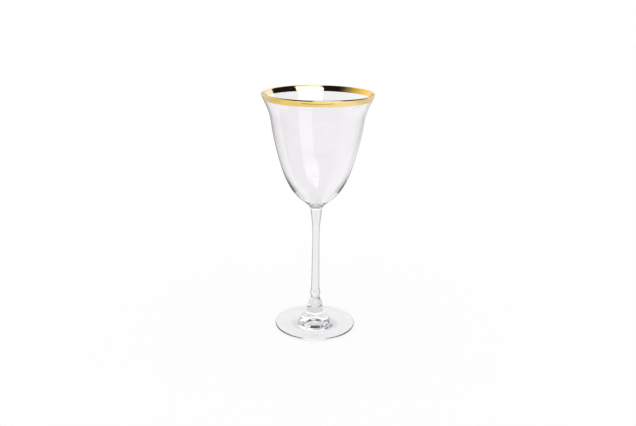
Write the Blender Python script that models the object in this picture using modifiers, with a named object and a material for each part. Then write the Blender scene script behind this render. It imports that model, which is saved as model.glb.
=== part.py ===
import math

import bpy
import numpy as np

# All sizes are in metres. Rises are heights from one level of a piece to the next level above it.

# Foot: a spun disc with a bell-shaped boss in the middle
FOOT_DIAMETER = 0.0680
FOOT_EDGE_THICKNESS = 0.0014
DISC_DIAMETER = 0.0440
DISC_RISE = 0.0012
TOE_DIAMETER = 0.0336
TOE_RISE = 0.0008
FILLET_DIAMETER = 0.0244
FILLET_RISE = 0.0016
BOSS_DIAMETER = 0.0192
BOSS_RISE = 0.0035
SHOULDER_DIAMETER = 0.0144
SHOULDER_RISE = 0.0048
CROWN_DIAMETER = 0.0104
CROWN_RISE = 0.0087
FOOT_WELD_DIAMETER = 0.0074
FOOT_WELD_RISE = 0.0030

# Hollow under the foot: inside the flat ring that the glass stands on, with a kick under the boss
RING_INNER_DIAMETER = 0.0620
HOLLOW_DIAMETER = 0.0440
HOLLOW_RISE = 0.0011
KICK_DIAMETER = 0.0176
KICK_RISE = 0.0003
KICK_TOP_RISE = 0.0026

# Stem: a drawn rod with a bead at its lower end
BEAD_DIAMETER = 0.0088
BEAD_RISE = 0.0037
SHAFT_DIAMETER = 0.0070
SHAFT_RISE = 0.0045
WAIST_DIAMETER = 0.0059
WAIST_RISE = 0.0445
TAPER_DIAMETER = 0.0065
TAPER_RISE = 0.0108
NECK_DIAMETER = 0.0098
NECK_RISE = 0.0147
NECK_LEAN = 7.0

# Bowl: a blown bell with a rolled lip and a thick base
BASE_FILLET_DIAMETER = 0.0136
BASE_FILLET_RISE = 0.0034
BASE_DIAMETER = 0.0297
BASE_RISE = 0.0070
LOWER_WALL_DIAMETER = 0.0510
LOWER_WALL_RISE = 0.0160
BELLY_DIAMETER = 0.0638
BELLY_RISE = 0.0200
UPPER_WALL_DIAMETER = 0.0727
UPPER_WALL_RISE = 0.0200
THROAT_DIAMETER = 0.0778
THROAT_RISE = 0.0140
LIP_DIAMETER = 0.0900
LIP_RISE = 0.0148
LIP_LEAN = 18.0
LIP_WALL = 0.0014
BASE_WALL = 0.0024
WALL_GROWTH = 4  # power of the depth below the lip at which the wall thickens
FLOOR_THICKNESS = 0.0050

# Gold: a fired film round the lip, down the outside and a little way inside
BAND_WIDTH = 0.0042
BAND_RETURN = 0.0003
FILM_THICKNESS = 0.00015

# Gaps that keep fused pieces apart as separate solids
WELD_GAP = 0.0003
FILM_GAP = 0.0001

# Fineness of the turned surfaces
WIDE_STEPS = 48
STEM_STEPS = 24
SPAN_STEPS = 4
ROUND_STEPS = 6


def lean_direction(degrees):
    # The way down a wall that spreads outwards towards its top by this angle
    angle = math.radians(degrees)
    return np.array((-math.sin(angle), -math.cos(angle)))


def smooth_line(stations, first_direction, last_direction, span_steps):
    # A curve through the stations with a given direction at both ends, and its direction at every point
    stations = np.array(stations)
    spans = np.linalg.norm(np.diff(stations, axis=0), axis=1)
    count = len(stations)
    matrix = np.eye(count)
    values = np.zeros((count, 2))
    values[0] = first_direction
    values[-1] = last_direction
    for i in range(1, count - 1):
        before = spans[i - 1]
        after = spans[i]
        matrix[i, i - 1:i + 2] = (1 / before, 2 / before + 2 / after, 1 / after)
        values[i] = 3 * ((stations[i] - stations[i - 1]) / before ** 2
                         + (stations[i + 1] - stations[i]) / after ** 2)
    slopes = np.linalg.solve(matrix, values)
    points = []
    directions = []
    for i, span in enumerate(spans):
        last_step = span_steps if i == count - 2 else span_steps - 1
        for step in range(last_step + 1):
            t = step / span_steps
            points.append((2 * t ** 3 - 3 * t ** 2 + 1) * stations[i]
                          + (t ** 3 - 2 * t ** 2 + t) * span * slopes[i]
                          + (3 * t ** 2 - 2 * t ** 3) * stations[i + 1]
                          + (t ** 3 - t ** 2) * span * slopes[i + 1])
            along = ((6 * t ** 2 - 6 * t) * (stations[i] - stations[i + 1]) / span
                     + (3 * t ** 2 - 4 * t + 1) * slopes[i]
                     + (3 * t ** 2 - 2 * t) * slopes[i + 1])
            directions.append(along / np.linalg.norm(along))
    return np.array(points), np.array(directions)


def left_of(directions):
    # Turning the way down a wall by a right angle gives its outward side
    directions = np.atleast_2d(directions)
    return np.stack((-directions[:, 1], directions[:, 0]), axis=1)


def arc(middle, radius, first_angle, last_angle, steps):
    angles = np.radians(np.linspace(first_angle, last_angle, steps + 1))
    return np.array(middle) + radius * np.stack((np.cos(angles), np.sin(angles)), axis=1)


def plain_material(name, colour, metallic, roughness, transmission):
    material = bpy.data.materials.new(name)
    material.use_nodes = True
    shader = material.node_tree.nodes["Principled BSDF"]
    shader.inputs["Base Color"].default_value = colour
    shader.inputs["Metallic"].default_value = metallic
    shader.inputs["Roughness"].default_value = roughness
    shader.inputs["Transmission Weight"].default_value = transmission
    return material


def turned_piece(name, outline, closed, steps, material, collection):
    # The outline stands at +X and runs down the outer side of the piece
    points = [(float(radius), 0.0, float(height)) for radius, height in outline]
    edges = [(i, i + 1) for i in range(len(points) - 1)]
    if closed:
        edges.append((len(points) - 1, 0))
    mesh = bpy.data.meshes.new(name)
    mesh.from_pydata(points, edges, [])
    mesh.materials.append(material)
    piece = bpy.data.objects.new(name, mesh)
    collection.objects.link(piece)
    screw = piece.modifiers.new("Turn", "SCREW")
    screw.axis = "Z"
    screw.steps = steps
    screw.render_steps = steps
    screw.use_merge_vertices = True
    screw.merge_threshold = 0.00001
    screw.use_smooth_shade = True
    return piece


for old in list(bpy.data.objects):
    bpy.data.objects.remove(old, do_unlink=True)

glass_set = bpy.data.collections.new("white_wine_glass")
bpy.context.scene.collection.children.link(glass_set)
clear_glass = plain_material("clear_glass", (0.93, 0.94, 0.96, 1.0), 0.0, 0.02, 1.0)
rim_gold = plain_material("rim_gold", (0.97, 0.76, 0.36, 1.0), 1.0, 0.15, 0.0)

# Levels of the foot, from the resting face up to the weld
edge_radius = FOOT_EDGE_THICKNESS / 2
disc_level = FOOT_EDGE_THICKNESS + DISC_RISE
toe_level = disc_level + TOE_RISE
fillet_level = toe_level + FILLET_RISE
boss_level = fillet_level + BOSS_RISE
shoulder_level = boss_level + SHOULDER_RISE
crown_level = shoulder_level + CROWN_RISE
foot_top = crown_level + FOOT_WELD_RISE
kick_level = HOLLOW_RISE + KICK_RISE

# Foot: the top runs out from the boss to the rounded edge, the underside back to the middle of the hollow
edge_middle = FOOT_DIAMETER / 2 - edge_radius
foot_stations = (
    (FOOT_WELD_DIAMETER / 2, foot_top),
    (CROWN_DIAMETER / 2, crown_level),
    (SHOULDER_DIAMETER / 2, shoulder_level),
    (BOSS_DIAMETER / 2, boss_level),
    (FILLET_DIAMETER / 2, fillet_level),
    (TOE_DIAMETER / 2, toe_level),
    (DISC_DIAMETER / 2, disc_level),
    (edge_middle, FOOT_EDGE_THICKNESS),
)
foot_surface, foot_directions = smooth_line(foot_stations, (0.0, -1.0), (1.0, 0.0), SPAN_STEPS)
foot_edge = arc((edge_middle, edge_radius), edge_radius, 90, -90, ROUND_STEPS)
hollow_stations = (
    (RING_INNER_DIAMETER / 2, 0.0),
    (HOLLOW_DIAMETER / 2, HOLLOW_RISE),
    (KICK_DIAMETER / 2, kick_level),
    (0.0, kick_level + KICK_TOP_RISE),
)
hollow, hollow_directions = smooth_line(hollow_stations, (-1.0, 0.0), (-1.0, 0.0), SPAN_STEPS)
foot_outline = np.concatenate(([(0.0, foot_top)], foot_surface, foot_edge[1:], hollow))
turned_piece("foot", foot_outline, False, WIDE_STEPS, clear_glass, glass_set)
print("foot stands", round(foot_top * 1000, 2), "mm to the weld")

# Levels of the stem, from the weld on the foot up to the weld under the bowl
stem_bottom = foot_top + WELD_GAP
bead_level = stem_bottom + BEAD_RISE
shaft_level = bead_level + SHAFT_RISE
waist_level = shaft_level + WAIST_RISE
taper_level = waist_level + TAPER_RISE
stem_top = taper_level + NECK_RISE

# Stem: the shaft from the neck down, then the bead down to the weld on the boss
shaft_stations = (
    (NECK_DIAMETER / 2, stem_top),
    (TAPER_DIAMETER / 2, taper_level),
    (WAIST_DIAMETER / 2, waist_level),
    (SHAFT_DIAMETER / 2, shaft_level),
)
bead_stations = (
    (SHAFT_DIAMETER / 2, shaft_level),
    (BEAD_DIAMETER / 2, bead_level),
    (FOOT_WELD_DIAMETER / 2, stem_bottom),
)
neck_direction = lean_direction(NECK_LEAN)
shaft, shaft_directions = smooth_line(shaft_stations, neck_direction, (0.0, -1.0), 2 * SPAN_STEPS)
bead, bead_directions = smooth_line(bead_stations, (0.0, -1.0), (0.0, -1.0), SPAN_STEPS)
stem_outline = np.concatenate(([(0.0, stem_top)], shaft, bead[1:], [(0.0, stem_bottom)]))
turned_piece("stem", stem_outline, False, STEM_STEPS, clear_glass, glass_set)
print("stem stands", round((stem_top - stem_bottom) * 1000, 2), "mm between its welds")

# Levels of the bowl, from the weld on the stem up to where the lip starts to roll over
bowl_bottom = stem_top + WELD_GAP
base_fillet_level = bowl_bottom + BASE_FILLET_RISE
base_level = base_fillet_level + BASE_RISE
lower_wall_level = base_level + LOWER_WALL_RISE
belly_level = lower_wall_level + BELLY_RISE
upper_wall_level = belly_level + UPPER_WALL_RISE
throat_level = upper_wall_level + THROAT_RISE
lip_level = throat_level + LIP_RISE

# Bowl: the outside from the lip down to the weld, and the inside set back from it by the wall
outside_stations = (
    (LIP_DIAMETER / 2, lip_level),
    (THROAT_DIAMETER / 2, throat_level),
    (UPPER_WALL_DIAMETER / 2, upper_wall_level),
    (BELLY_DIAMETER / 2, belly_level),
    (LOWER_WALL_DIAMETER / 2, lower_wall_level),
    (BASE_DIAMETER / 2, base_level),
    (BASE_FILLET_DIAMETER / 2, base_fillet_level),
    (NECK_DIAMETER / 2, bowl_bottom),
)
lip_direction = lean_direction(LIP_LEAN)
outside, outside_directions = smooth_line(outside_stations, lip_direction, neck_direction, SPAN_STEPS)
wall_end = SPAN_STEPS * 5
wall_points = outside[0:wall_end + 1:SPAN_STEPS]
wall_sides = left_of(outside_directions[0:wall_end + 1:SPAN_STEPS])
wall_depths = (lip_level - wall_points[:, 1]) / (lip_level - base_level)
walls = LIP_WALL + (BASE_WALL - LIP_WALL) * wall_depths ** WALL_GROWTH
inside_stations = np.concatenate((wall_points - wall_sides * walls[:, None],
                                  [(0.0, bowl_bottom + FLOOR_THICKNESS)]))
inside, inside_directions = smooth_line(inside_stations, lip_direction, (-1.0, 0.0), SPAN_STEPS)
lip_middle = (outside[0] + inside[0]) / 2
lip_roll = arc(lip_middle, LIP_WALL / 2, 180 - LIP_LEAN, -LIP_LEAN, ROUND_STEPS)
bowl_outline = np.concatenate((inside[::-1], lip_roll[1:-1], outside, [(0.0, bowl_bottom)]))
turned_piece("bowl", bowl_outline, False, WIDE_STEPS, clear_glass, glass_set)
print("lip starts", round(lip_level * 1000, 2), "mm above the resting face")


def film_line(offset):
    # The line at this distance from the glass, from the end inside the lip, over it and down the outside
    line = []
    for wall, side, reach in ((inside, -1, BAND_RETURN), (outside, 1, BAND_WIDTH)):
        lengths = np.concatenate(([0.0], np.cumsum(np.linalg.norm(np.diff(wall, axis=0), axis=1))))
        places = np.linspace(0.0, reach, SPAN_STEPS + 1)
        points = np.stack([np.interp(places, lengths, wall[:, axis]) for axis in (0, 1)], axis=1)
        ways = np.gradient(points, axis=0)
        ways /= np.linalg.norm(ways, axis=1)[:, None]
        line.append(points + side * offset * left_of(ways))
    over = arc(lip_middle, LIP_WALL / 2 + offset, 180 - LIP_LEAN, -LIP_LEAN, ROUND_STEPS)
    return np.concatenate((line[0][:0:-1], over, line[1][1:]))


# Gold: a film of even thickness held off the glass
band_outline = np.concatenate((film_line(FILM_GAP + FILM_THICKNESS), film_line(FILM_GAP)[::-1]))
turned_piece("gold_rim_band", band_outline, True, WIDE_STEPS, rim_gold, glass_set)
print("overall height", round(float(band_outline[:, 1].max()) * 1000, 2), "mm")
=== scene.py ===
import math

import bpy
import numpy as np
from mathutils import Matrix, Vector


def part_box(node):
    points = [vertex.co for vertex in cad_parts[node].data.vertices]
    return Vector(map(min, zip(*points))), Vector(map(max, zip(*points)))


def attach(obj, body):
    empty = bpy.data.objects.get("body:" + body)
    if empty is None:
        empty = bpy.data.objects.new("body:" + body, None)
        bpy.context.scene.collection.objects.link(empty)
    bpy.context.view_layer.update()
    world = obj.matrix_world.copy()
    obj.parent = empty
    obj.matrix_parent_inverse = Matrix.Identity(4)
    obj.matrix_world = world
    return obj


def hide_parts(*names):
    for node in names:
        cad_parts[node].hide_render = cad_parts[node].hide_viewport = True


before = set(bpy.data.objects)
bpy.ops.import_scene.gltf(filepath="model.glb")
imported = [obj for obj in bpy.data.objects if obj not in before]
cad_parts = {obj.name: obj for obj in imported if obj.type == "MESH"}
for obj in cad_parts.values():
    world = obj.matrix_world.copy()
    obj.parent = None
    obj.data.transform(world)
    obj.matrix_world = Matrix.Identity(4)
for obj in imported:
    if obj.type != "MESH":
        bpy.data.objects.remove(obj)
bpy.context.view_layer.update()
print("frame loaded:", sorted(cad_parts))

glassBounces = 32  # light crosses many glass faces on its way through the stem and the foot
mirrorBounces = 12

scene = bpy.context.scene
scene.view_settings.view_transform = "Standard"
scene.cycles.max_bounces = glassBounces
scene.cycles.transmission_bounces = glassBounces
scene.cycles.transparent_max_bounces = glassBounces
scene.cycles.glossy_bounces = mirrorBounces


# Camera, at the photograph's viewing angle

cameraSetup = {
    "distance": 0.5629,  # level distance from the axis of the glass
    "height": 0.2777,
    "tiltDown": 17.508,  # degrees below level
    "turnRight": 0.144,
    "roll": 0.87,
    "lens": 40.16,  # millimetres, as the sensor
    "sensorWidth": 36.0,
    "nearest": 0.01,  # nothing closer to the camera is seen
}


def turnAbout(axis, degrees):
    return Matrix.Rotation(math.radians(degrees), 3, axis)


def placeCamera(setup):
    bpy.ops.object.select_all(action="DESELECT")
    bpy.ops.object.camera_add(location=(0, -setup["distance"], setup["height"]))
    camera = bpy.context.object
    camera.name = "photoCamera"
    turn = turnAbout("Z", -setup["turnRight"])
    tilt = turnAbout("X", 90 - setup["tiltDown"])  # an unturned camera looks straight down
    roll = turnAbout("Z", setup["roll"])
    camera.rotation_euler = (turn @ tilt @ roll).to_euler()
    camera.data.lens = setup["lens"]
    camera.data.sensor_width = setup["sensorWidth"]
    camera.data.clip_start = setup["nearest"]
    scene.camera = camera
    print("camera placed")


placeCamera(cameraSetup)


# Shader maths: a socket that takes part in Python expressions

class Wire:
    def __init__(self, socket):
        self.socket = socket
        self.tree = socket.id_data

    def node(self, kind, settings, values, out=0):
        made = self.tree.nodes.new(kind)
        for name, value in settings.items():
            setattr(made, name, value)
        feed(made, values)
        return Wire(made.outputs[out])

    def maths(self, operation, other=0.0):
        return self.node("ShaderNodeMath", {"operation": operation}, {0: self, 1: other})

    def reversedMaths(self, operation, other):
        return self.node("ShaderNodeMath", {"operation": operation}, {0: other, 1: self})

    def __add__(self, other):
        return self.maths("ADD", other)

    __radd__ = __add__

    def __mul__(self, other):
        return self.maths("MULTIPLY", other)

    __rmul__ = __mul__

    def __sub__(self, other):
        return self.maths("SUBTRACT", other)

    def __rsub__(self, other):
        return self.reversedMaths("SUBTRACT", other)

    def __truediv__(self, other):
        return self.maths("DIVIDE", other)

    def __rtruediv__(self, other):
        return self.reversedMaths("DIVIDE", other)

    def __abs__(self):
        return self.maths("ABSOLUTE")

    def ranged(self, kind, span, levels):
        start, end = span
        first, last = levels
        return self.node("ShaderNodeMapRange", {"interpolation_type": kind}, {
            "Value": self, "From Min": start, "From Max": end, "To Min": first, "To Max": last})

    def ease(self, span, levels=(0.0, 1.0)):
        # the first level before the span, the last one after it, and a smooth climb between them
        return self.ranged("SMOOTHSTEP", span, levels)

    def slide(self, span, levels):
        # the same with a straight climb
        return self.ranged("LINEAR", span, levels)

    def mix(self, first, second):
        # the first colour at 0 and the second at 1; the numbers are the Mix node's colour sockets
        return self.node("ShaderNodeMix", {"data_type": "RGBA"}, {0: self, 6: first, 7: second}, 2)

    def noise(self, scale, detail):
        return self.node("ShaderNodeTexNoise", {}, {"Vector": self, "Scale": scale, "Detail": detail})

    def parts(self):
        # X, Y and Z of a place or a direction
        first = self.node("ShaderNodeSeparateXYZ", {}, {"Vector": self})
        return [Wire(socket) for socket in first.socket.node.outputs]

    def reach(self, shares):
        # distance from the origin, when only these shares of X, Y and Z count
        scaled = self.node("ShaderNodeVectorMath", {"operation": "MULTIPLY"}, {0: self, 1: shares}, "Vector")
        return self.node("ShaderNodeVectorMath", {"operation": "LENGTH"}, {0: scaled}, "Value")


def feed(node, values):
    # each socket gets a link where its value is a wire, and a fixed value where it isn't
    for name, value in values.items():
        if isinstance(value, Wire):
            node.id_data.links.new(value.socket, node.inputs[name])
        else:
            node.inputs[name].default_value = value


def coordinates(tree, kind):
    return Wire(tree.nodes.new("ShaderNodeTexCoord").outputs[kind])


def newMaterial(name):
    material = bpy.data.materials.new(name)
    material.use_nodes = True
    return material, material.node_tree.nodes["Principled BSDF"]


# Glass: clear and fire-polished, with painted shade where it is seen edge on, standing in for the dark room
# seen in its edges, and the faint waviness of blown ware

glassLook = {
    "ior": 1.51,
    "waveSize": 40.0,  # waves per metre
    "waveDetail": 1.0,
    "waveHeight": 0.00002,
    "polish": (0.0, 0.004),  # roughness of the clearest and the dullest patches
    "patchSize": 90.0,  # patches per metre
    "patchDetail": 2.0,
}


def makeGlass(name, sizes, look):
    material, shader = newMaterial(name)
    place = coordinates(material.node_tree, "Object")
    # painted shade: the glass's colour turns grey where it is seen edge on, standing in for the dark room
    # seen in its edges
    edgeShadeMask = place.node("ShaderNodeLayerWeight", {}, {"Blend": 0.5}, "Facing").ease(sizes["grazing"])
    patch = place.noise(look["patchSize"], look["patchDetail"])
    wave = place.noise(look["waveSize"], look["waveDetail"])
    waviness = {"Height": wave, "Strength": 1.0, "Distance": look["waveHeight"]}
    feed(shader, {
        "IOR": look["ior"],
        "Transmission Weight": 1.0,
        "Base Color": edgeShadeMask.mix(sizes["tint"], sizes["paintedEdgeShade"]),
        "Roughness": patch.slide((0.0, 1.0), look["polish"]),
        "Normal": place.node("ShaderNodeBump", {}, waviness),
    })
    return material


# Welds: the fused faces inside the glass don't show

def makeWeld():
    material, shader = newMaterial("fusedWeld")
    feed(shader, {"Alpha": 0.0, "Roughness": 0.0})
    return material


fusedWeld = makeWeld()
print("weld finish made")


# Turned pieces: an outline is drawn point by point beside the axis and spun round it

turning = {
    "seedSize": 0.001,  # of the face that is merged into the outline's first point
    "mergeDistance": 0.000002,
    "smoothAngle": 40.0,  # sharper corners than this stay sharp
    "weldReach": 0.00001,  # a face this close to a weld's level belongs to the weld
    "weldFacing": 0.9,  # if it faces up or down at least this much
}


def leanWay(degrees):
    # down and inwards, this far from upright
    angle = math.radians(degrees)
    return np.array((-math.sin(angle), -math.cos(angle)))


def stationWays(stations, firstWay, lastWay):
    # the directions of a smooth curve at its stations, with given directions at its ends
    spans = np.linalg.norm(np.diff(stations, axis=0), axis=1)
    count = len(stations)
    matrix = np.eye(count)
    values = np.zeros((count, 2))
    values[0] = firstWay
    values[-1] = lastWay
    for here in range(1, count - 1):
        before, after = spans[here - 1], spans[here]
        matrix[here, here - 1:here + 2] = (1 / before, 2 / before + 2 / after, 1 / after)
        values[here] = 3 * ((stations[here] - stations[here - 1]) / before ** 2
                            + (stations[here + 1] - stations[here]) / after ** 2)
    return np.linalg.solve(matrix, values)


def smoothLine(stations, firstWay, lastWay, spanSteps):
    # a smooth curve through the stations, with given directions at its ends
    stations = np.array(stations)
    ways = stationWays(stations, firstWay, lastWay)
    share = np.arange(spanSteps)[:, None] / spanSteps
    runs = []
    for start, end, startWay, endWay in zip(stations, stations[1:], ways, ways[1:]):
        span = np.linalg.norm(end - start)
        runs.append((2 * share ** 3 - 3 * share ** 2 + 1) * start
                    + (share ** 3 - 2 * share ** 2 + share) * span * startWay
                    + (3 * share ** 2 - 2 * share ** 3) * end
                    + (share ** 3 - share ** 2) * span * endWay)
    return np.concatenate(runs + [stations[-1:]])


def outwards(ways):
    # at right angles to each direction of a line that runs down, away from the axis and one unit long
    sides = np.stack((-ways[:, 1], ways[:, 0]), axis=1)
    return sides / np.linalg.norm(sides, axis=1)[:, None]


def arc(middle, radius, firstAngle, lastAngle, steps):
    angles = np.radians(np.linspace(firstAngle, lastAngle, steps + 1))
    return np.array(middle) + radius * np.stack((np.cos(angles), np.sin(angles)), axis=1)


def spinOutline(name, outline, turns):
    bpy.ops.object.select_all(action="DESELECT")
    radius, height = outline[0]
    bpy.ops.mesh.primitive_plane_add(size=turning["seedSize"], location=(radius, 0, height))
    piece = bpy.context.object
    piece.name = name
    bpy.ops.object.mode_set(mode="EDIT")
    bpy.ops.mesh.select_all(action="SELECT")
    bpy.ops.mesh.merge(type="CENTER")
    for across, up in np.diff(outline, axis=0):
        bpy.ops.mesh.extrude_vertices_move(TRANSFORM_OT_translate={"value": (across, 0, up)})
    bpy.ops.mesh.select_all(action="SELECT")
    bpy.ops.mesh.spin(steps=turns, angle=math.tau, center=(0, 0, 0), axis=(0, 0, 1))
    bpy.ops.mesh.select_all(action="SELECT")
    bpy.ops.mesh.remove_doubles(threshold=turning["mergeDistance"])
    bpy.ops.mesh.normals_make_consistent(inside=False)
    bpy.ops.object.mode_set(mode="OBJECT")
    bpy.ops.object.transform_apply(location=True, rotation=True, scale=True)
    bpy.ops.object.shade_smooth_by_angle(angle=math.radians(turning["smoothAngle"]))
    return piece


def dressGlass(piece, material, weldLevels):
    piece.data.materials.append(material)
    piece.data.materials.append(fusedWeld)
    for face in piece.data.polygons:
        onLevel = any(abs(face.center.z - level) < turning["weldReach"] for level in weldLevels)
        isWeld = onLevel and abs(face.normal.z) > turning["weldFacing"]
        face.material_index = 1 if isWeld else 0


# Each weld lies in the middle of the gap that the frame has between two pieces

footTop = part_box("foot")[1].z
stemLow, stemHigh = (corner.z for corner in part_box("stem"))
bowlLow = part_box("bowl")[0].z
lowWeld = (footTop + stemLow) / 2
highWeld = (stemHigh + bowlLow) / 2


# Foot: a thin disc with a bell-shaped boss, hollowed a little underneath

footSizes = {
    "radius": 0.0340,
    "edge": 0.0014,  # thickness of the rounded edge
    "disc": (0.0220, 0.0026),  # radius and height of each level
    "toe": (0.0168, 0.0034),
    "fillet": (0.0122, 0.0050),
    "boss": (0.0096, 0.0085),
    "shoulder": (0.0072, 0.0133),
    "crown": (0.0052, 0.0220),
    "weldRadius": 0.0037,
    "standRadius": 0.0310,  # the hollow starts inside the ring that the foot stands on
    "standMargin": 0.000175,  # of the two lines that keep the ring flat
    "hollow": (0.0220, 0.0011),
    "kick": (0.0088, 0.0014),
    "kickHeight": 0.0040,
    "spanSteps": 24,
    "edgeSteps": 20,
    "turns": 128,
    "tint": (0.985, 0.968, 0.987, 1),
    # painted shade at the foot's edges, standing in for the dark room seen there
    "paintedEdgeShade": (0.7, 0.7, 0.72, 1),
    "grazing": (0.6, 0.98),  # how far the glass turns away where its edge starts and ends
}


def makeFoot(sizes):
    edgeRadius = sizes["edge"] / 2
    edgeMiddle = sizes["radius"] - edgeRadius
    levels = [sizes[level] for level in ("crown", "shoulder", "boss", "fillet", "toe", "disc")]
    stations = [(sizes["weldRadius"], lowWeld)] + levels + [(edgeMiddle, sizes["edge"])]
    top = smoothLine(stations, (0, -1), (1, 0), sizes["spanSteps"])
    edge = arc((edgeMiddle, edgeRadius), edgeRadius, 90, -90, sizes["edgeSteps"])
    stand = [(edgeMiddle - sizes["standMargin"], 0), (sizes["standRadius"] + sizes["standMargin"], 0)]
    hollow = [(sizes["standRadius"], 0), sizes["hollow"], sizes["kick"], (0, sizes["kickHeight"])]
    under = smoothLine(hollow, (-1, 0), (-1, 0), sizes["spanSteps"])
    outline = np.concatenate(([(0, lowWeld)], top, edge[1:], stand, under))
    foot = spinOutline("footGlass", outline, sizes["turns"])
    dressGlass(foot, makeGlass("footGlass", sizes, glassLook), [lowWeld])
    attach(foot, "root")
    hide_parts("foot")
    print("foot made:", len(foot.data.polygons), "faces")


makeFoot(footSizes)


# Stem: a drawn rod, thinnest above its middle, with a bead where it meets the foot

stemSizes = {
    "neckRadius": 0.0049,
    "neckLean": 7.0,  # degrees from upright
    "taper": (0.00325, 0.0888),  # radius and height of each level
    "waist": (0.00295, 0.0780),
    "shaft": (0.0035, 0.0335),
    "bead": (0.0044, 0.0290),
    "shaftSteps": 24,
    "beadSteps": 14,
    "turns": 96,
    "tint": (0.885, 0.865, 0.895, 1),
    # painted shade at the stem's edges, standing in for the dark room seen there
    "paintedEdgeShade": (0.2, 0.2, 0.22, 1),
    "grazing": (0.3, 0.55),  # how far the glass turns away where its edge starts and ends
}


def makeStem(sizes):
    shaftStations = [(sizes["neckRadius"], highWeld), sizes["taper"], sizes["waist"], sizes["shaft"]]
    shaft = smoothLine(shaftStations, leanWay(sizes["neckLean"]), (0, -1), sizes["shaftSteps"])
    beadStations = [sizes["shaft"], sizes["bead"], (footSizes["weldRadius"], lowWeld)]
    bead = smoothLine(beadStations, (0, -1), (0, -1), sizes["beadSteps"])
    outline = np.concatenate(([(0, highWeld)], shaft, bead[1:], [(0, lowWeld)]))
    stem = spinOutline("stemGlass", outline, sizes["turns"])
    dressGlass(stem, makeGlass("stemGlass", sizes, glassLook), [lowWeld, highWeld])
    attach(stem, "root")
    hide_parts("stem")
    print("stem made:", len(stem.data.polygons), "faces")


makeStem(stemSizes)


# Bowl: a blown bell, flared at the lip, its wall thickening towards the base

bowlSizes = {
    "lip": (0.0450, 0.1990),  # radius and height of each level, outside
    "throat": (0.0389, 0.1842),
    "upperWall": (0.03635, 0.1702),
    "belly": (0.0319, 0.1502),
    "lowerWall": (0.0255, 0.1302),
    "base": (0.01485, 0.1142),
    "baseFillet": (0.0068, 0.1072),
    "lipLean": 18.0,  # degrees from upright
    "lipWall": 0.0014,
    "baseWall": 0.0024,
    "wallGrowth": 4,  # power of the depth below the lip at which the wall thickens
    "floor": 0.1088,  # height of the floor inside
    "spanSteps": 16,
    "lipSteps": 12,
    "turns": 144,
    "tint": (0.968, 0.955, 0.969, 1),
    # painted shade at the bowl's edges, standing in for the dark room seen there
    "paintedEdgeShade": (0.15, 0.15, 0.16, 1),
    "grazing": (0.77, 0.92),  # how far the glass turns away where its edge starts and ends
}


def bowlLines(sizes):
    # the outside from the lip to the weld, and the inside from the lip to the middle of the floor
    wall = np.array([sizes[level] for level in ("lip", "throat", "upperWall", "belly", "lowerWall", "base")])
    stations = np.concatenate((wall, [sizes["baseFillet"], (stemSizes["neckRadius"], highWeld)]))
    lipWay = leanWay(sizes["lipLean"])
    neckWay = leanWay(stemSizes["neckLean"])
    outside = smoothLine(stations, lipWay, neckWay, sizes["spanSteps"])
    sides = outwards(stationWays(stations, lipWay, neckWay)[:len(wall)])
    depths = (wall[0, 1] - wall[:, 1]) / (wall[0, 1] - wall[-1, 1])
    thickness = sizes["lipWall"] + (sizes["baseWall"] - sizes["lipWall"]) * depths ** sizes["wallGrowth"]
    innerStations = np.concatenate((wall - sides * thickness[:, None], [(0, sizes["floor"])]))
    inside = smoothLine(innerStations, lipWay, (-1, 0), sizes["spanSteps"])
    return outside, inside


def lipArc(sizes, outside, inside, offset):
    # over the lip from the inside to the outside, this far off the glass
    middle = (outside[0] + inside[0]) / 2
    lean = sizes["lipLean"]
    return arc(middle, sizes["lipWall"] / 2 + offset, 180 - lean, -lean, sizes["lipSteps"])


def makeBowl(sizes):
    outside, inside = bowlLines(sizes)
    lip = lipArc(sizes, outside, inside, 0)
    outline = np.concatenate((inside[::-1], lip[1:-1], outside, [(0, highWeld)]))
    bowl = spinOutline("bowlGlass", outline, sizes["turns"])
    dressGlass(bowl, makeGlass("bowlGlass", sizes, glassLook), [highWeld])
    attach(bowl, "root")
    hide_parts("bowl")
    print("bowl made:", len(bowl.data.polygons), "faces")


makeBowl(bowlSizes)


# Gold: a bright fired film, brushed on round the lip, with a painted dark reflection along its crest and
# painted reflection in its tone round the rim

goldLook = {
    "bright": (0.98, 0.80, 0.46, 1),  # where the film is thin, and where the painted reflection pales it
    "deep": (0.96, 0.61, 0.02, 1),  # where it is full, and where the painted reflection deepens it
    "radius": 0.0447,  # of the ring that the film makes
    "fullness": 0.21,
    "paintedReflectionCorners": 1.05,  # painted reflection: how much deeper the tone gets to the back right and to the front left
    "paintedReflectionRight": 0.55,
    "paintedReflectionBack": -0.27,
    "streakAround": 30.0,  # streaks per metre
    "streakUp": 1500.0,
    "streakDetail": 3.0,
    "streakMiddle": 0.5,  # a streak of this strength leaves the film as full as it is
    "streakDepth": 0.3,
    "polish": (0.01, 0.04),  # roughness between the streaks and on them
    "paintedDarkReflection": (0.06, 0.04, 0.015, 1),
    "darkReflectionStart": (0.0003, 0.0005),  # inwards from the outside, where the painted dark reflection starts and is full
    "darkReflectionEnd": (0.00105, 0.00115),  # and where it thins and ends
}


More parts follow.
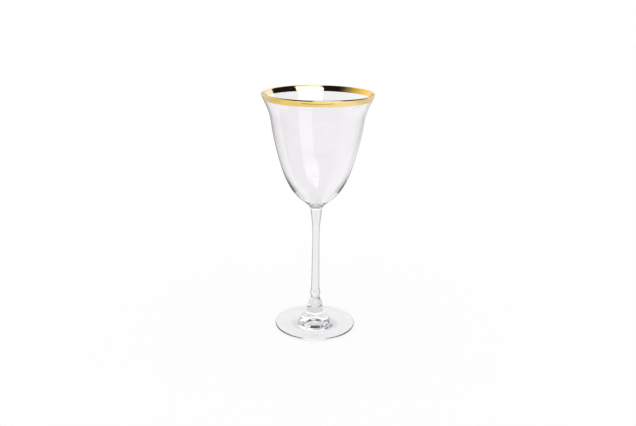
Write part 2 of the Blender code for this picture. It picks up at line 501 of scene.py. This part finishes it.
def makeGold(look):
    material, shader = newMaterial("rimGold")
    place = coordinates(material.node_tree, "Object")
    stretch = (look["streakAround"], look["streakAround"], look["streakUp"])
    stretched = place.node("ShaderNodeMapping", {}, {"Vector": place, "Scale": stretch})
    streak = stretched.noise(1.0, look["streakDetail"])
    side, behind, height = place.parts()
    across = side / look["radius"]
    along = behind / look["radius"]
    # the film's own fullness and streaks, plus a painted reflection of the room that deepens the tone to the
    # back right and the front left
    fullnessAndReflection = (look["fullness"] + look["paintedReflectionCorners"] * across * along
             + look["paintedReflectionRight"] * across + look["paintedReflectionBack"] * along
             + (streak - look["streakMiddle"]) * look["streakDepth"])
    # colour of the film, with the painted reflection in it
    film = fullnessAndReflection.mix(look["bright"], look["deep"])
    lipRadius, lipHeight = bowlSizes["lip"]
    lean = math.radians(bowlSizes["lipLean"])
    inwards = (lipRadius - place.reach((1, 1, 0))) * math.cos(lean) + (height - lipHeight) * math.sin(lean)
    # a painted dark reflection along the lip's crest
    line = inwards.ease(look["darkReflectionStart"]) * (1 - inwards.ease(look["darkReflectionEnd"]))
    feed(shader, {
        "Base Color": line.mix(film, look["paintedDarkReflection"]),
        "Roughness": streak.slide((0.0, 1.0), look["polish"]),
        "Metallic": 1.0,
    })
    return material


# Gold film: down the outside of the lip, over it and a little way inside

bandSizes = {
    "width": 0.0042,  # down the outside
    "inside": 0.0003,
    "clear": 0.00002,  # between the glass and the film
    "film": 0.00006,
    "runSteps": 8,
}


def filmLine(sizes, offset):
    # from the film's edge inside the bowl, over the lip, to its edge outside, this far off the glass
    outside, inside = bowlLines(bowlSizes)
    runs = []
    for wall, side, reach in ((inside, -1, sizes["inside"]), (outside, 1, sizes["width"])):
        lengths = np.concatenate(([0], np.cumsum(np.linalg.norm(np.diff(wall, axis=0), axis=1))))
        places = np.linspace(0, reach, sizes["runSteps"] + 1)
        points = np.stack([np.interp(places, lengths, wall[:, axis]) for axis in (0, 1)], axis=1)
        runs.append(points + side * offset * outwards(np.gradient(points, axis=0)))
    insideRun, outsideRun = runs
    over = lipArc(bowlSizes, outside, inside, offset)
    return np.concatenate((insideRun[:0:-1], over, outsideRun[1:]))


def makeBand(sizes):
    outer = filmLine(sizes, sizes["clear"] + sizes["film"])
    inner = filmLine(sizes, sizes["clear"])
    outline = np.concatenate((outer, inner[::-1], outer[:1]))
    band = spinOutline("goldRim", outline, bowlSizes["turns"])
    band.data.materials.append(makeGold(goldLook))
    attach(band, "root")
    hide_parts("gold_rim_band")
    print("gold rim made:", len(band.data.polygons), "faces")


makeBand(bandSizes)


# Studio: a white floor, white surroundings behind the glass, a dark room and a softbox in front

def readPath(tree):
    # camera rays, all rays that show the studio as it is, and rays that were mirrored
    path = tree.nodes.new("ShaderNodeLightPath")

    def output(name):
        return Wire(path.outputs[name])

    camera = output("Is Camera Ray")
    direct = camera.maths("MAXIMUM", output("Is Glossy Ray")).maths("MAXIMUM", output("Is Transmission Ray"))
    scattered = output("Diffuse Depth").maths("MINIMUM", 1.0)
    mirrored = output("Glossy Depth").maths("MINIMUM", 1.0)
    return {"camera": camera, "seen": direct * (1 - scattered), "mirrored": mirrored}


floorLook = {
    "size": 8.0,
    "drop": 0.0002,  # below the foot
    "colour": (0.86, 0.86, 0.86, 1),
    "glow": 0.65,  # share of its own light in what is seen of it
    "levels": (0.78, 0.9),  # its brightness in mirror images, on the left and on the right
    "sides": (-0.12, 0.12),  # where one turns into the other
    "fall": 0.32,  # how much dimmer it is there far out on both sides
    "fallReach": (0.25, 0.35),
    "dip": 0.65,  # a dimmer strip in front of the glass
    "dipStart": (0.196, 0.215),  # distances from the axis where it starts and is dimmest
    "dipEnd": (0.215, 0.224),
    "dipFlat": 0.75,  # how much of the distance to the side counts there
    "dipSide": (0.12, 0.15),
    "gleam": 0.25,  # it gets brighter beyond the strip
    "gleamFront": (-0.12, 0.0),
    "behindStart": (0.10, 0.20),  # distances behind the glass where it turns dark
    "behindSpread": (0.35, 0.7),  # how far to the side that reaches, as a share of the distance
    "behindLevels": (0.1, 0.75),  # there, on the left and on the right
    "behindSides": (-0.03, 0.03),
}


def mirrorLevel(place, look):
    side, behind = place.parts()[:2]
    distance = place.reach((look["dipFlat"], 1, 1))
    beyond = distance.ease(look["dipEnd"])
    dip = distance.ease(look["dipStart"]) * (1 - beyond) * (1 - abs(side).ease(look["dipSide"]))
    gleam = beyond * (1 - behind.ease(look["gleamFront"]))
    level = side.ease(look["sides"], look["levels"]) * (1 - look["fall"] * abs(side).ease(look["fallReach"]))
    level = level + look["gleam"] * gleam - look["dip"] * dip
    spread = abs(side) / behind.maths("MAXIMUM", look["behindStart"][0])
    darkPart = behind.ease(look["behindStart"]) * (1 - spread.ease(look["behindSpread"]))
    return level * (1 - darkPart * (1 - side.ease(look["behindSides"], look["behindLevels"])))


def makeFloor(look):
    bpy.ops.object.select_all(action="DESELECT")
    bpy.ops.mesh.primitive_plane_add(size=look["size"], location=(0, 0, -look["drop"]))
    floor = bpy.context.object
    floor.name = "paleFloor"
    material, shader = newMaterial("paleFloor")
    tree = material.node_tree
    tree.nodes.remove(shader)
    path = readPath(tree)
    level = 1 - path["mirrored"] * (1 - mirrorLevel(coordinates(tree, "Object"), look))
    matt = level.node("ShaderNodeBsdfDiffuse", {}, {"Color": look["colour"]})
    glow = level.node("ShaderNodeEmission", {}, {"Color": level, "Strength": 1.0})
    mixed = level.node("ShaderNodeMixShader", {}, {0: path["seen"] * look["glow"], 1: matt, 2: glow})
    feed(tree.nodes["Material Output"], {"Surface": mixed})
    floor.data.materials.append(material)
    print("floor made")


makeFloor(floorLook)


# Room: angles are degrees round from the camera, to the right in the picture, and elevations are above level

roomLook = {
    "fill": 1.15,  # light on matt things
    "white": 1.08,
    "dark": 0.012,
    "leftHalf": 0.5,  # the white wall on the left fades in two halves
    "leftSlide": (-130.0, -60.0),  # angles where the first half fades
    "leftEase": (-115.0, -45.0),  # and where the second one does
    "whiteRight": (116.0, 119.0),  # angles where the white wall on the right starts
    "ceiling": (46.0, 56.0),  # elevations where the white ends
    "boxLevels": (1.15, 2.1, 2.0),  # low, middle and high in the softbox
    "boxClimbs": ((19.0, 29.0), (36.0, 43.0)),  # elevations where one level turns into the next
    "boxLeft": (15.0, -13.0),  # angles of its left side, low down and high up
    "boxLeftLean": (15.0, 33.6667),  # elevations where that side starts and stops leaning
    "boxRight": (52.0, 10.0),
    "boxRightLean": (42.0, 72.0),
    "boxEnds": (3.0, 70.0),  # elevations of its bottom and top
    "softSides": 1.5,
    "softEnds": 3.0,
}


def around(edge, softness):
    return edge - softness, edge + softness


def softboxLight(azimuth, elevation, look):
    leftSide = elevation.slide(look["boxLeftLean"], look["boxLeft"])
    rightSide = elevation.slide(look["boxRightLean"], look["boxRight"])
    softSide = around(0, look["softSides"])
    inside = (azimuth - leftSide).ease(softSide) * (rightSide - azimuth).ease(softSide)
    bottom, top = (elevation.ease(around(end, look["softEnds"])) for end in look["boxEnds"])
    low, middle, high = look["boxLevels"]
    firstClimb, lastClimb = look["boxClimbs"]
    level = elevation.ease(firstClimb, (low, middle)) + elevation.ease(lastClimb, (0.0, high - middle))
    return inside * bottom * (1 - top) * level


def makeRoom(look):
    world = bpy.data.worlds.new("studio")
    world.use_nodes = True
    scene.world = world
    tree = world.node_tree
    path = readPath(tree)
    right, away, up = coordinates(tree, "Generated").parts()
    degrees = 180 / math.pi
    azimuth = right.maths("ARCTAN2", 0 - away) * degrees
    elevation = up.maths("ARCSINE") * degrees
    fading = (look["leftHalf"], 0.0)
    leftWall = azimuth.slide(look["leftSlide"], fading) + azimuth.ease(look["leftEase"], fading)
    walls = (leftWall + azimuth.ease(look["whiteRight"])) * (1 - elevation.ease(look["ceiling"]))
    room = look["dark"] + softboxLight(azimuth, elevation, look) + look["white"] * walls
    shown = path["seen"] * room + (1 - path["seen"]) * look["fill"]
    strength = path["camera"] + (1 - path["camera"]) * shown
    feed(tree.nodes["Background"], {"Color": (1, 1, 1, 1), "Strength": strength})
    print("room made")


makeRoom(roomLook)
